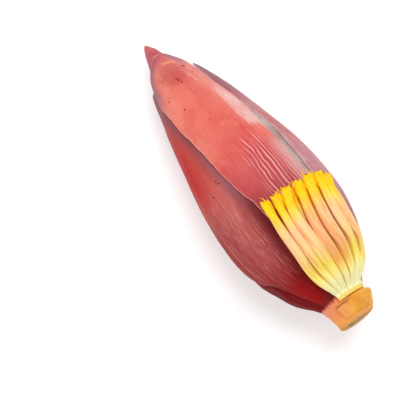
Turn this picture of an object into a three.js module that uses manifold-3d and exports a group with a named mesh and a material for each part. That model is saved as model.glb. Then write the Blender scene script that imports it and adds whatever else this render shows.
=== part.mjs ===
import * as THREE from 'three';
import { mergeVertices } from 'three/addons/utils/BufferGeometryUtils.js';
import Module from 'manifold-3d';

// Banana blossom cut from its stalk and lying on its side, tip toward -X and cut stem toward +X.
// Stations run in millimetres along the blossom from its tip. Angles are degrees round its axis,
// measured from the crown, the line along the middle of its show face, and positive toward +Y.

const blossomLength = 233.5;
const axisBow = 2; // sideways bow of the axis at mid length
const crownAngle = -9.2; // crown, from straight up
const stemRise = 5.6; // degrees the stem end is raised when the blossom lies at rest
const restDepth = 0.8; // how deep the resting flat is pressed into the lowest bract

// Layers of bracts over the bud, all following one spindle profile
const coreProfile = [
  [0, 0.4], [3.5, 2.5], [7, 4.2], [15, 7], [22, 9.8], [29, 12.4], [43, 16.9], [60, 21.3],
  [75, 24.2], [90, 27], [105, 30.2], [120, 33.1], [135, 34.8], [150, 35.4], [160, 35.1],
  [172, 33.2], [185, 29.7], [198, 24.2], [205.4, 19.4], [212, 14.5],
];
const neckProfile = [
  [185, 35.8], [192, 32.4], [198, 29.2], [204, 25.8], [208, 22.9], [212, 19.4], [216.6, 16],
];
const budTaper = [8, 110]; // bracts thicken between these stations
const tipThickness = 0.8;
const bodyThickness = 2;
const tipGap = 0.4;
const bodyGap = 0.95;
const marginThickness = 0.9;
const marginWidth = 6; // how far in from a margin a bract thins toward it
const neckStart = 190; // past here the outer bracts lie side by side
const neckEnd = 204;
const bractBase = 216.6;
const bractMesh = { steps: 29, columns: 15 };
const ribs = { count: 12, height: 0.5, rise: [30, 90], fall: [190, 212] }; // broad, round the bud

// Bud inside the bracts, with a lap of its own outermost sheet near the tip
const budStart = 0.4;
const budBase = 205.4;
const budLap = { rise: [5, 7], fall: [8, 12], angle: 75, edge: [41, 55], height: 0.25 };

// Bracts: [station, left margin angle, right margin angle] from tip to base,
// layer heights over the bud as [station, layers], and how far the tip flares off the bud
const bracts = {
  upper_bract: {
    color: '#c4564c',
    layers: [[10, 1], [18, 1.15], [27, 2], [45, 2.5], [60, 2.9], [75, 3], [80, 3]],
    flare: { angle: 20, spread: 90, length: 10, height: 0.3 },
    margins: [
      [14.2, 2, 16], [14.9, -12, 34], [16.4, -22, 56], [22, -49, 72], [28, -59, 73],
      [34, -58, 66], [42, -53, 59], [50, -50, 54], [55.5, -44.5, 51.5], [61.5, -39.5, 50.5],
      [73, -34, 51.2], [84, -28.6, 50.5], [95, -24.7, 47.2], [107.5, -21, 44.8],
      [126, -17, 42.8], [136, -14.5, 42.3], [143, -11.2, 42.6], [150, -9.7, 43],
      [175, -8, 44], [192, -6, 45], [bractBase, -5, 46],
    ],
  },
  left_bract: {
    color: '#8c2f36',
    layers: [[28, 1], [45, 1.5], [60, 1.9], [75, 2], [80, 2]],
    flare: { angle: -92, spread: 34, length: 26, height: 2 },
    margins: [
      [33, -86, -74], [34.5, -98, -62], [38, -106, -46], [44, -111, -34], [56, -114, -26],
      [72, -115, -17], [92, -111, -9], [110, -104, -4], [128, -97, 0], [142, -97.5, 5],
      [150, -97, 7], [158, -95.5, 7], [166, -93.5, 7], [175, -88, 6], [181, -79, 3],
      [187, -63, -1.5], [192, -55.5, -7.5], [bractBase, -56, -7],
    ],
  },
  right_bract: {
    color: '#a5586a',
    layers: [[60, 2], [80, 2]],
    flare: { angle: 88, spread: 45, length: 130, height: 1.7 },
    margins: [
      [33, 80, 88], [34.5, 71.5, 98], [38, 66.5, 106], [44, 61.5, 113], [56, 54.8, 120],
      [70, 53.2, 125], [80, 54, 129], [91, 59, 133], [105, 60.5, 138], [117, 57, 143],
      [128, 54.8, 146], [143, 53, 149], [158, 50, 150], [175, 48, 150], [192, 48, 147],
      [bractBase, 48, 145],
    ],
  },
  inner_bract: {
    color: '#9b7f7c',
    layers: [[28, 1], [60, 1]],
    flare: { angle: 88, spread: 45, length: 130, height: 0.6 },
    margins: [
      [37, 78, 90], [38.5, 66, 102], [43, 50, 112], [53, 38, 124], [70, 28, 130],
      [100, 22, 134], [150, 16, 134], [191, 16, 132],
    ],
  },
  under_bract: {
    color: '#7c2a38',
    layers: [[22, 1], [60, 1]],
    flare: { angle: 212, spread: 50, length: 24, height: 0.8 },
    margins: [
      [22, 206, 216], [24, 192, 222], [30, 170, 230], [40, 152, 238], [56, 141, 242],
      [72, 138, 243], [82, 137, 256], [92, 137, 264], [110, 137, 271], [128, 137, 281],
      [142, 137, 292], [154, 137, 306], [175, 137, 316], [188, 145, 305], [192, 149, 302],
      [bractBase, 147, 302],
    ],
  },
};

// Stem: plug under the bud, then the short visible neck down to the cut
const stemColor = '#d98f4c';
const stemProfile = [
  [206, 17.2], [208.5, 16.6], [211, 15.4], [213.5, 13.4], [216.95, 12.1],
  [217, 15.8], [219.5, 15], [223, 13.9], [228, 12.9], [232.7, 12.5], [blossomLength, 12],
];
const collar = { start: 222, end: 232.2, from: -22, to: 118, inner: 10, first: 18.6, last: 13.4 };

// Hand of florets: roots on a cushion against the collar, heads forward over the upper bract
const floretColor = '#f3cf8e';
const cushion = { start: 217.3, end: 221.3, from: -6, to: 59, inner: 16.4, first: 18.9, last: 18 };
const guideStations = [153, 172, 190, 205, 219.3]; // head, two of the body, shoulder, root
const shoulderFall = [185, 212]; // the upper row comes down to the lower between these
const rootFall = [211, 219.3]; // both rows bend down to the cushion between these
const rootRadius = 17.6;
const rows = [
  {
    raise: 0,
    halfWidth: 2.7,
    // [tip station, then the angle at each guide station]
    florets: [
      [158, 8.6, 5.3, 5, 6.4, 12.2], [154.6, 16.4, 13.2, 13.1, 17.9, 21.8],
      [157.5, 27.8, 23.2, 22.6, 31, 32], [158, 35.6, 31.9, 32.4, 42.6, 41.2],
      [159, 42, 39.7, 41, 52.8, 48.3],
    ],
  },
  {
    raise: 3.5,
    halfWidth: 3.1,
    florets: [
      [152.8, -3.2, -6, -5.5, -9.2, -1.6], [153.4, 4.4, 2.1, 1.2, 1.4, 7.7],
      [153.6, 12.8, 8.5, 8.7, 11.4, 16.7], [153.8, 24, 18.8, 17.6, 24.4, 27.3],
      [154.2, 31.4, 27.5, 27.5, 37.6, 37], [155, 39.8, 36.2, 37.2, 47.9, 45],
      [158, 43.8, 43, 44.7, 58, 51.5],
    ],
  },
];
const floretSides = 10;
const floretFlatness = 0.86;
const floretClearance = 1;
const headStart = 0.84; // of the floret's length
// [share of length from the root, half width as a share of the full half width]
const floretOutline = [
  [0, 0.5], [0.08, 0.62], [0.2, 0.84], [0.36, 0.98], [0.54, 1], [0.7, 0.94], [0.82, 0.84],
  [0.9, 1.02], [0.96, 1.12], [1, 0.92],
];
const lobes = { reach: 2.4, notch: 0.2 }; // past the head, and in between two of them
const spineStep = 0.02; // share of the length over which a floret's direction is taken
const turnJitter = 0.5; // radians each floret is rolled, at most
const raiseJitter = 0.4;
const turnSeed = 40; // apart from the seeds of the raise

const wasm = await Module();
wasm.setup();
const { Manifold, Mesh } = wasm;

// Smooth curve through [position, value...] stations, flat beyond both ends
function curveThrough(stations, column = 1) {
  const count = stations.length;
  const slopeAt = (i) => {
    const before = stations[Math.max(i - 1, 0)];
    const after = stations[Math.min(i + 1, count - 1)];
    return (after[column] - before[column]) / (after[0] - before[0]);
  };
  return (position) => {
    if (position <= stations[0][0]) return stations[0][column];
    if (position >= stations[count - 1][0]) return stations[count - 1][column];
    const next = stations.findIndex((station) => station[0] > position);
    const [start, end] = [stations[next - 1], stations[next]];
    const span = end[0] - start[0];
    const t = (position - start[0]) / span;
    const [t2, t3] = [t * t, t * t * t];
    return (2 * t3 - 3 * t2 + 1) * start[column] + (t3 - 2 * t2 + t) * span * slopeAt(next - 1)
      + (3 * t2 - 2 * t3) * end[column] + (t3 - t2) * span * slopeAt(next);
  };
}

function smoothstep(from, to, value) {
  return THREE.MathUtils.smoothstep(value, from, to);
}

function mix(a, b, share) {
  return a + (b - a) * share;
}

function steepness(radiusAt, station) {
  return Math.hypot(1, (radiusAt(station + 1) - radiusAt(station - 1)) / 2);
}

const coreRadius = curveThrough(coreProfile);
const neckRadius = curveThrough(neckProfile);

function neckShare(station) {
  return smoothstep(neckStart, neckEnd, station);
}

function slant(station) {
  const core = steepness(coreRadius, station);
  return mix(core, steepness(neckRadius, station), neckShare(station));
}

function thicknessAt(station) {
  return mix(tipThickness, bodyThickness, smoothstep(...budTaper, station)) * slant(station);
}

function gapAt(station) {
  return mix(tipGap, bodyGap, smoothstep(...budTaper, station)) * slant(station);
}

function layerRadius(station, layers) {
  const layered = coreRadius(station) + layers * (thicknessAt(station) + gapAt(station));
  return mix(layered, neckRadius(station), neckShare(station));
}

// Point of the blossom at a station, angle and radius, before it is laid down
function blossomPoint(station, angle, radius) {
  const turn = THREE.MathUtils.degToRad(crownAngle + angle);
  const bow = axisBow * Math.sin(Math.PI * station / blossomLength);
  return new THREE.Vector3(station, bow + radius * Math.sin(turn), radius * Math.cos(turn));
}

function ribAt(station, angle) {
  const fade = smoothstep(...ribs.rise, station) * (1 - smoothstep(...ribs.fall, station));
  return ribs.height * fade * (1 + Math.cos(THREE.MathUtils.degToRad(ribs.count * angle))) / 2;
}

// Closed surface of triangles, wound so that its faces point out
function closedSurface(points, triangles) {
  const solidShare = (corners) => {
    const [a, b, c] = corners.map((index) => points[index]);
    return a.dot(new THREE.Vector3().crossVectors(b, c));
  };
  let volume = 0;
  for (const corners of triangles) volume += solidShare(corners);
  const wound = volume > 0 ? triangles : triangles.map(([a, b, c]) => [a, c, b]);
  const geometry = new THREE.BufferGeometry();
  geometry.setAttribute('position', new THREE.Float32BufferAttribute(
    points.flatMap((point) => point.toArray()), 3));
  geometry.setIndex(wound.flat());
  return geometry;
}

function toManifold(geometry) {
  const merged = mergeVertices(geometry, 1e-5);
  return new Manifold(new Mesh({
    numProp: 3,
    vertProperties: new Float32Array(merged.attributes.position.array),
    triVerts: new Uint32Array(merged.index.array),
  }));
}

function toGeometry(manifold) {
  const mesh = manifold.getMesh();
  const geometry = new THREE.BufferGeometry();
  geometry.setAttribute('position', new THREE.BufferAttribute(mesh.vertProperties, 3));
  geometry.setIndex(new THREE.BufferAttribute(mesh.triVerts, 1));
  return geometry;
}

// Closed sheet between an outer and an inner grid of points, rows by columns
function closedSheet(outer, inner) {
  const rowCount = outer.length;
  const columnCount = outer[0].length;
  const points = [...outer.flat(), ...inner.flat()];
  const innerStart = rowCount * columnCount;
  const triangles = [];
  const quad = (a, b, c, d) => triangles.push([a, b, c], [a, c, d]);
  for (let i = 0; i < rowCount - 1; i += 1) {
    for (let j = 0; j < columnCount - 1; j += 1) {
      const a = i * columnCount + j;
      const b = a + columnCount;
      quad(a, b, b + 1, a + 1);
      quad(innerStart + a, innerStart + a + 1, innerStart + b + 1, innerStart + b);
    }
  }
  const edge = (a, b) => quad(a, b, innerStart + b, innerStart + a);
  for (let j = 0; j < columnCount - 1; j += 1) {
    const last = (rowCount - 1) * columnCount + j;
    edge(j, j + 1);
    edge(last + 1, last);
  }
  for (let i = 0; i < rowCount - 1; i += 1) {
    const left = i * columnCount;
    const right = left + columnCount - 1;
    edge(left + columnCount, left);
    edge(right, right + columnCount);
  }
  return closedSurface(points, triangles);
}

// Closed tube through rings of points, with a fan to a middle point at each end
function closedTube(rings, startPoint, endPoint) {
  const sides = rings[0].length;
  const points = [...rings.flat(), startPoint, endPoint];
  const startIndex = rings.length * sides;
  const endIndex = startIndex + 1;
  const lastRing = startIndex - sides;
  const triangles = [];
  for (let j = 0; j < sides; j += 1) {
    const next = (j + 1) % sides;
    triangles.push([startIndex, next, j], [endIndex, lastRing + j, lastRing + next]);
    for (let i = 0; i < rings.length - 1; i += 1) {
      const [a, b] = [i * sides + j, i * sides + next];
      triangles.push([a, b, b + sides], [a, b + sides, a + sides]);
    }
  }
  return closedSurface(points, triangles);
}

// Stations crowded toward both ends of a span
function easedStations(from, to, steps) {
  return Array.from({ length: steps + 1 }, (_, i) => (
    mix(from, to, (1 - Math.cos(Math.PI * i / steps)) / 2)));
}

// Shares across a bract, somewhat crowded toward its margins
function acrossShares(steps) {
  return easedStations(0, 1, steps).map((share, j) => mix(share, j / steps, 0.6));
}

function marginAt(margins, column) {
  const reach = (station) => Math.sqrt(Math.max(station - margins[0][0], 0));
  const curve = curveThrough(margins.map((row) => [reach(row[0]), row[column]]));
  return (station) => curve(reach(station));
}

function flareAt({ angle, spread, length, height }, fromTip, at) {
  const along = 1 - smoothstep(0, length, fromTip);
  return height * along * (1 - smoothstep(0, spread, Math.abs(at - angle)));
}

function bractGeometry({ layers, margins, flare }, steps, columns) {
  const layersAt = curveThrough(layers);
  const leftAt = marginAt(margins, 1);
  const rightAt = marginAt(margins, 2);
  const stations = easedStations(margins[0][0], margins[margins.length - 1][0], steps);
  const shares = acrossShares(columns);
  const outer = [];
  const inner = [];
  for (const station of stations) {
    const [left, right] = [leftAt(station), rightAt(station)];
    const radius = layerRadius(station, layersAt(station));
    const thickness = thicknessAt(station);
    const width = THREE.MathUtils.degToRad(right - left) * radius;
    const row = shares.map((share) => {
      const angle = mix(left, right, share);
      const inset = Math.min(share, 1 - share) * width;
      const thinning = Math.max(thickness - marginThickness, 0)
        * (1 - smoothstep(0, marginWidth, inset));
      const raised = radius + ribAt(station, angle) + flareAt(flare, station - stations[0], angle);
      return {
        outer: blossomPoint(station, angle, raised - thinning),
        inner: blossomPoint(station, angle, raised - thickness),
      };
    });
    outer.push(row.map((pair) => pair.outer));
    inner.push(row.map((pair) => pair.inner));
  }
  return closedSheet(outer, inner);
}

function ringAngles(sides) {
  return Array.from({ length: sides }, (_, j) => 360 * j / sides);
}

function innerBudGeometry() {
  const angles = ringAngles(24);
  const rings = easedStations(budStart, budBase, 30).map((station) => {
    const along = smoothstep(...budLap.rise, station) * (1 - smoothstep(...budLap.fall, station));
    return angles.map((angle) => {
      const turned = Math.abs(((angle - budLap.angle + 540) % 360) - 180);
      const lap = budLap.height * along * (1 - smoothstep(...budLap.edge, turned));
      return blossomPoint(station, angle, coreRadius(station) + lap);
    });
  });
  return closedTube(rings, blossomPoint(0, 0, 0), blossomPoint(budBase, 0, 0));
}

// Part ring, such as a collar, whose outer radius changes from its first station to its last
function partRing({ start, end, from, to, inner, first, last }, steps, columns) {
  const outerGrid = [];
  const innerGrid = [];
  for (let i = 0; i <= steps; i += 1) {
    const share = i / steps;
    const station = mix(start, end, share);
    const angles = Array.from({ length: columns + 1 }, (_, j) => mix(from, to, j / columns));
    outerGrid.push(angles.map((angle) => blossomPoint(station, angle, mix(first, last, share))));
    innerGrid.push(angles.map((angle) => blossomPoint(station, angle, inner)));
  }
  return toManifold(closedSheet(outerGrid, innerGrid));
}

function stemGeometry() {
  const angles = ringAngles(36);
  const rings = stemProfile.map(([station, radius]) => (
    angles.map((angle) => blossomPoint(station, angle, radius))));
  const start = blossomPoint(stemProfile[0][0], 0, 0);
  const end = blossomPoint(blossomLength, 0, 0);
  const body = toManifold(closedTube(rings, start, end));
  return toGeometry(body.add(partRing(collar, 3, 16)));
}

function seededDraw(seed) {
  const value = Math.sin(seed * 12.9898) * 43758.5453;
  return (value - Math.floor(value)) * 2 - 1;
}

// Middle line of a floret as a function of its station
function floretLine([, ...angles], raise, halfWidth) {
  const angleAt = curveThrough(guideStations.map((station, i) => [station, angles[i]]));
  return (station) => {
    const seat = layerRadius(station, 3) + ribs.height;
    const lying = seat + (floretClearance + halfWidth * floretFlatness) * slant(station);
    const lifted = lying + raise * (1 - smoothstep(...shoulderFall, station));
    const radius = mix(lifted, rootRadius, smoothstep(...rootFall, station));
    return blossomPoint(station, angleAt(station), radius);
  };
}

function floretRings(lineAt, tipStation, halfWidth, turn) {
  const root = guideStations[guideStations.length - 1];
  const spineAt = (share) => lineAt(mix(root, tipStation, share));
  return floretOutline.map(([share, widthShare]) => {
    const centre = spineAt(share);
    const forward = spineAt(share + spineStep).sub(spineAt(share - spineStep)).normalize();
    const outward = new THREE.Vector3(0, centre.y, centre.z).normalize();
    const side = new THREE.Vector3().crossVectors(forward, outward).normalize();
    const up = new THREE.Vector3().crossVectors(side, forward);
    return Array.from({ length: floretSides }, (_, j) => {
      const around = 2 * Math.PI * j / floretSides + turn;
      const isLobe = share > headStart && j % 2 === 0;
      const narrowed = share === 1 && !isLobe ? 1 - lobes.notch : 1;
      const half = halfWidth * widthShare * narrowed;
      return centre.clone()
        .addScaledVector(side, half * Math.cos(around))
        .addScaledVector(up, half * floretFlatness * Math.sin(around))
        .addScaledVector(forward, share === 1 && isLobe ? lobes.reach : 0);
    });
  });
}

function middleOf(ring) {
  const sum = ring.reduce((total, point) => total.add(point), new THREE.Vector3());
  return sum.divideScalar(ring.length);
}

function floretHandGeometry() {
  let hand = partRing(cushion, 2, 10);
  let seed = 1;
  for (const { raise, halfWidth, florets } of rows) {
    for (const floret of florets) {
      const lift = raise + raiseJitter * Math.abs(seededDraw(seed));
      const line = floretLine(floret, lift, halfWidth);
      const rings = floretRings(line, floret[0], halfWidth, turnJitter * seededDraw(seed + turnSeed));
      const tube = closedTube(rings, middleOf(rings[0]), middleOf(rings[rings.length - 1]));
      hand = hand.add(toManifold(tube));
      seed += 1;
    }
  }
  const outerSkin = hand.decompose().filter((body) => body.volume() > 0);
  return toGeometry(outerSkin[0]);
}

// Lays the blossom down: stem end raised, lowest bract pressed flat where it rests
function layDown(geometries) {
  const rise = new THREE.Matrix4().makeRotationY(THREE.MathUtils.degToRad(-stemRise));
  const box = new THREE.Box3();
  for (const geometry of Object.values(geometries)) {
    geometry.applyMatrix4(rise);
    geometry.computeBoundingBox();
    box.union(geometry.boundingBox);
  }
  const floor = box.min.z + restDepth;
  const centre = box.getCenter(new THREE.Vector3());
  const trimmed = toManifold(geometries.under_bract).trimByPlane([0, 0, 1], floor);
  geometries.under_bract = toGeometry(trimmed);
  for (const geometry of Object.values(geometries)) {
    geometry.translate(-centre.x, -centre.y, -floor);
  }
}

function material(color, roughness) {
  return new THREE.MeshStandardMaterial({ color, roughness, metalness: 0 });
}

const geometries = { inner_bud: innerBudGeometry() };
for (const [name, bract] of Object.entries(bracts)) {
  geometries[name] = bractGeometry(bract, bractMesh.steps, bractMesh.columns);
}
geometries.stem = stemGeometry();
geometries.floret_hand = floretHandGeometry();
layDown(geometries);

const materials = {
  inner_bud: material('#b8455c', 0.5),
  stem: material(stemColor, 0.7),
  floret_hand: material(floretColor, 0.5),
};
const blossom = new THREE.Group();
blossom.name = 'banana_blossom';
for (const [name, geometry] of Object.entries(geometries)) {
  const surface = materials[name] ?? material(bracts[name].color, 0.45);
  const mesh = new THREE.Mesh(geometry, surface);
  mesh.name = name;
  blossom.add(mesh);
}

export default blossom;
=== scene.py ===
import math
import bpy
import numpy as np
from mathutils import Matrix, Vector


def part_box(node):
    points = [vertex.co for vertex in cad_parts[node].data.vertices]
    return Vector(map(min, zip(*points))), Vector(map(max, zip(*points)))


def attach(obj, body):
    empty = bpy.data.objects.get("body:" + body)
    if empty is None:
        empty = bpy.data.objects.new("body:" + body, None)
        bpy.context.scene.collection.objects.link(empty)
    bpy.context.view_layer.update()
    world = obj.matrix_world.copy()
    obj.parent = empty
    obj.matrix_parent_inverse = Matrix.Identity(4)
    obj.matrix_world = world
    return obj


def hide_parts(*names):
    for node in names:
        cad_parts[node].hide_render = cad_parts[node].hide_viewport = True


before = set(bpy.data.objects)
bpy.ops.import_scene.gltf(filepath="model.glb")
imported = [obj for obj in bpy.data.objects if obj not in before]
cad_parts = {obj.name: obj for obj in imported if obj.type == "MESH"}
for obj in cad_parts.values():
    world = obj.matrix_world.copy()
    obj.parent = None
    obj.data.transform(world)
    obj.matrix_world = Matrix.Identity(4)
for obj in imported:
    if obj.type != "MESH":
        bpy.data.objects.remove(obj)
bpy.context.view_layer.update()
print("frame loaded:", ", ".join(sorted(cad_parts)))

# numbers of the whole blossom: stations in mm along its axis, angles in degrees from its crown
blossom = {
    "length": 233.5, "bow": 2.0, "crown": -9.2, "rise": 5.6,
    "core": [  # station, radius
        (0, 0.4), (3.5, 2.5), (7, 4.2), (15, 7), (22, 9.8), (29, 12.4), (43, 16.9), (60, 21.3),
        (75, 24.2), (90, 27), (105, 30.2), (120, 33.1), (135, 34.8), (150, 35.4), (160, 35.1),
        (172, 33.2), (185, 29.7), (198, 24.2), (205.4, 19.4), (212, 14.5),
    ],
    "neck": [(185, 35.8), (192, 32.4), (198, 29.2), (204, 25.8), (208, 22.9), (212, 19.4), (216.6, 16)],
    "neckFrom": 190, "neckTo": 204,
    "thickness": (0.8, 2.0), "gap": (0.4, 0.95), "taper": (8, 110),
    "marginThickness": 0.9, "marginWidth": 6,
    "ribCount": 12, "ribHeight": 0.5,
    "budBase": 205.4, "budFacets": (30, 24),
    "veinHeight": 0.4,
}


def smoothstep(low, high, value):
    t = np.clip((value - low) / (high - low), 0, 1)
    return t * t * (3 - 2 * t)


def falloff(low, high, value):
    return 1 - smoothstep(low, high, value)


def mix(a, b, share):
    return a + (b - a) * share


def unit(directions):
    return directions / np.linalg.norm(directions, axis=-1, keepdims=True)


def curveThrough(stations):
    xs, ys = np.array(stations, float).T
    last = len(xs) - 1
    after = np.minimum(np.arange(last + 1) + 1, last)
    before = np.maximum(np.arange(last + 1) - 1, 0)
    slopes = (ys[after] - ys[before]) / (xs[after] - xs[before])

    def at(position):
        p = np.clip(position, xs[0], xs[-1])
        i = np.clip(np.searchsorted(xs, p, side="right") - 1, 0, last - 1)
        span = xs[i + 1] - xs[i]
        t = (p - xs[i]) / span
        value = (2 * t**3 - 3 * t**2 + 1) * ys[i] + (t**3 - 2 * t**2 + t) * span * slopes[i]
        return value + (3 * t**2 - 2 * t**3) * ys[i + 1] + (t**3 - t**2) * span * slopes[i + 1]

    return at


coreRadius = curveThrough(blossom["core"])
neckRadius = curveThrough(blossom["neck"])


def neckShare(station):
    return smoothstep(blossom["neckFrom"], blossom["neckTo"], station)


def steepness(radiusAt, station):
    return np.hypot(1, (radiusAt(station + 1) - radiusAt(station - 1)) / 2)


def slant(station):
    return mix(steepness(coreRadius, station), steepness(neckRadius, station), neckShare(station))


def acrossSkin(key, station):  # a bract's thickness, or the gap below it, as a slanting cut shows it
    return mix(*blossom[key], smoothstep(*blossom["taper"], station)) * slant(station)


def layerRadius(station, layers):
    layered = coreRadius(station) + layers * (acrossSkin("thickness", station) + acrossSkin("gap", station))
    return mix(layered, neckRadius(station), neckShare(station))


def ribAt(station, angle):
    fade = smoothstep(30, 90, station) * falloff(190, 212, station)
    return blossom["ribHeight"] * fade * (1 + np.cos(np.radians(blossom["ribCount"] * angle))) / 2


def axisPoint(station, angle, radius):
    turn = np.radians(blossom["crown"] + angle)
    bow = blossom["bow"] * np.sin(np.pi * station / blossom["length"])
    spots = np.broadcast_arrays(station + 0 * turn, bow + radius * np.sin(turn), radius * np.cos(turn))
    return np.stack(spots, -1)


def raisedUp(points):  # turned so that the stem end stands a little higher
    turn = math.radians(blossom["rise"])
    x, y, z = points[..., 0], points[..., 1], points[..., 2]
    return np.stack([x * math.cos(turn) - z * math.sin(turn), y, x * math.sin(turn) + z * math.cos(turn)], -1)


def easedSteps(low, high, steps):
    return mix(low, high, (1 - np.cos(np.pi * np.arange(steps + 1) / steps)) / 2)


def restingPlace():  # the frame's place of the axis, from the lowest corner of its bud
    steps, sides = blossom["budFacets"]
    stations = easedSteps(blossom["core"][0][1], blossom["budBase"], steps)[:, None]
    angles = np.arange(sides)[None, :] * 360 / sides
    rings = raisedUp(axisPoint(stations, angles, coreRadius(stations)))
    low = np.minimum(rings.reshape(-1, 3).min(0), [0, 0, 0])
    return low - np.array(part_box("inner_bud")[0]) * 1000


axisPlace = restingPlace()


def toFrame(points):
    return (raisedUp(points) - axisPlace) * 0.001


def unevenness(x, y, seed):  # smooth seeded noise from -1 to 1
    def corner(i, j):
        value = np.sin(i * 127.1 + j * 311.7 + seed * 74.7) * 43758.5453
        return (value - np.floor(value)) * 2 - 1

    x, y = np.broadcast_arrays(np.asarray(x, float), np.asarray(y, float))
    i, j = np.floor(x), np.floor(y)
    u, v = smoothstep(0, 1, x - i), smoothstep(0, 1, y - j)
    near = mix(corner(i, j), corner(i + 1, j), u)
    return mix(near, mix(corner(i, j + 1), corner(i + 1, j + 1), u), v)


# shading helpers
def tone(code):  # a colour written as on a paint card, made linear
    parts = [int(code[i:i + 2], 16) / 255 for i in (1, 3, 5)]
    return tuple(p / 12.92 if p <= 0.04045 else ((p + 0.055) / 1.055) ** 2.4 for p in parts) + (1.0,)


class Value:  # a socket that can stand in a sum
    def __init__(self, skin, socket):
        self.skin = skin
        self.socket = socket

    def maths(self, operation, *terms):
        return self.skin.node("ShaderNodeMath", {"operation": operation}, terms)

    def __add__(self, other):
        return self.maths("ADD", self, other)

    def __sub__(self, other):
        return self.maths("SUBTRACT", self, other)

    def __rsub__(self, other):
        return self.maths("SUBTRACT", other, self)

    def __mul__(self, other):
        return self.maths("MULTIPLY", self, other)

    def __truediv__(self, other):
        return self.maths("DIVIDE", self, other)

    def __abs__(self):
        return self.maths("ABSOLUTE", self)

    __radd__ = __add__
    __rmul__ = __mul__


class Skin:  # one material and the nodes that make it
    def __init__(self, name):
        self.material = bpy.data.materials.new(name)
        self.material.use_nodes = True
        self.tree = self.material.node_tree
        self.tree.nodes.clear()
        self.colour = None

    def node(self, kind, settings, inputs, output=0):
        made = self.tree.nodes.new(kind)
        for key, setting in settings.items():
            if key == "stops":
                ramp = made.color_ramp
                ramp.elements[0].position, ramp.elements[0].color = setting[0]
                ramp.elements[1].position, ramp.elements[1].color = setting[-1]
                for position, colour in setting[1:-1]:
                    ramp.elements.new(position).color = colour
            else:
                setattr(made, key, setting)
        pairs = inputs.items() if isinstance(inputs, dict) else enumerate(inputs)
        for key, value in pairs:
            if isinstance(value, Value):
                self.tree.links.new(value.socket, made.inputs[key])
            else:
                made.inputs[key].default_value = value
        return Value(self, made.outputs[output])

    def read(self, *names):
        found = [self.node("ShaderNodeAttribute", {"attribute_name": name}, {}, "Fac") for name in names]
        return found if len(found) > 1 else found[0]

    def join(self, x, y, z):
        return self.node("ShaderNodeCombineXYZ", {}, [x, y, z])

    def place(self):
        return self.node("ShaderNodeTexCoord", {}, {}, "Object")

    def fade(self, value, low, high):  # 0 below low, 1 above high
        settings = {"interpolation_type": "SMOOTHSTEP"}
        return self.node("ShaderNodeMapRange", settings, [value, low, high, 0.0, 1.0])

    def drop(self, value, low, high):  # 1 below low, 0 above high
        return 1 - self.fade(value, low, high)

    def window(self, value, low, high, soft):
        return self.fade(value, low - soft, low + soft) * self.drop(value, high - soft, high + soft)

    def noise(self, where, scale, detail=2.0, roughness=0.5):
        inputs = {"Vector": where, "Scale": scale, "Detail": detail, "Roughness": roughness}
        return self.node("ShaderNodeTexNoise", {}, inputs)

    def blend(self, share, base, top):
        return self.node("ShaderNodeMix", {"data_type": "RGBA"}, {0: share, 6: base, 7: top}, 2)

    def paint(self, share, code):  # a share of a new tone over the colour so far
        self.colour = self.blend(share, self.colour, tone(code))

    def ramp(self, value, low, high, stops):
        scaled = self.node("ShaderNodeMapRange", {}, [value, low, high, 0.0, 1.0])
        span = high - low
        marks = [((at - low) / span, tone(code)) for at, code in stops.items()]
        return self.node("ShaderNodeValToRGB", {"stops": marks}, [scaled])

    def dot(self, across, along, place, size):  # a soft spot round one place of the skin
        x = (across - place[0]) / size[0]
        y = (along - place[1]) / size[1]
        return self.drop(x * x + y * y, 0.35, 1.0)

    def bump(self, height, distance):
        return self.node("ShaderNodeBump", {}, {"Height": height, "Distance": distance, "Strength": 1.0})

    def finish(self, roughness, bump, **fixed):
        inputs = {"Base Color": self.colour, "Roughness": roughness, "Normal": bump}
        inputs["Specular IOR Level"] = 0.16
        inputs.update({key.replace("_", " "): value for key, value in fixed.items()})
        shader = self.node("ShaderNodeBsdfPrincipled", {}, inputs)
        out = self.tree.nodes.new("ShaderNodeOutputMaterial")
        self.tree.links.new(shader.socket, out.inputs["Surface"])
        return self.material


# mesh helpers
def ringSurface(rings, fold=False):
    # closed surface through rings of points; folded ends are stitched edge to edge, others get a middle point
    rows, columns = rings.shape[:2]
    index = np.arange(rows * columns).reshape(rows, columns)
    if fold:
        mirrored = -np.arange(columns) % columns
        for row in (0, -1):
            index[row] = np.minimum(index[row], index[row][mirrored])
    a, b = index[:-1], index[1:]
    quads = np.stack([a, np.roll(a, -1, 1), np.roll(b, -1, 1), b], -1).reshape(-1, 4)
    points = rings.reshape(-1, 3)
    faces = quads.tolist()
    if not fold:
        middles = np.stack([rings[0].mean(0), rings[-1].mean(0)])
        points = np.concatenate([points, middles])
        nextOne = (np.arange(columns) + 1) % columns
        faces += [[index[0][k], index[0][j], rows * columns] for j, k in enumerate(nextOne)]
        faces += [[index[-1][j], index[-1][k], rows * columns + 1] for j, k in enumerate(nextOne)]
    first, second, third, fourth = points[quads].swapaxes(0, 1)
    volume = (first * np.cross(second - fourth, third)).sum()
    if volume < 0:  # the faces look inward
        faces = [face[::-1] for face in faces]
    return points, faces


def ringValues(shape, **grids):  # each value over rings of points, then at the two middle points
    return {key: np.append(np.broadcast_to(grid, shape).ravel(), ends) for key, (grid, ends) in grids.items()}


def joined(surfaces):  # several closed surfaces as the points, faces and values of one mesh
    points, faces, values, count = [], [], {}, 0
    for somePoints, someFaces, someValues in surfaces:
        points.append(somePoints)
        faces += [[index + count for index in face] for face in someFaces]
        count += len(somePoints)
        for key, numbers in someValues.items():
            values.setdefault(key, []).append(numbers)
    return np.concatenate(points), faces, {key: np.concatenate(parts) for key, parts in values.items()}


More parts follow.
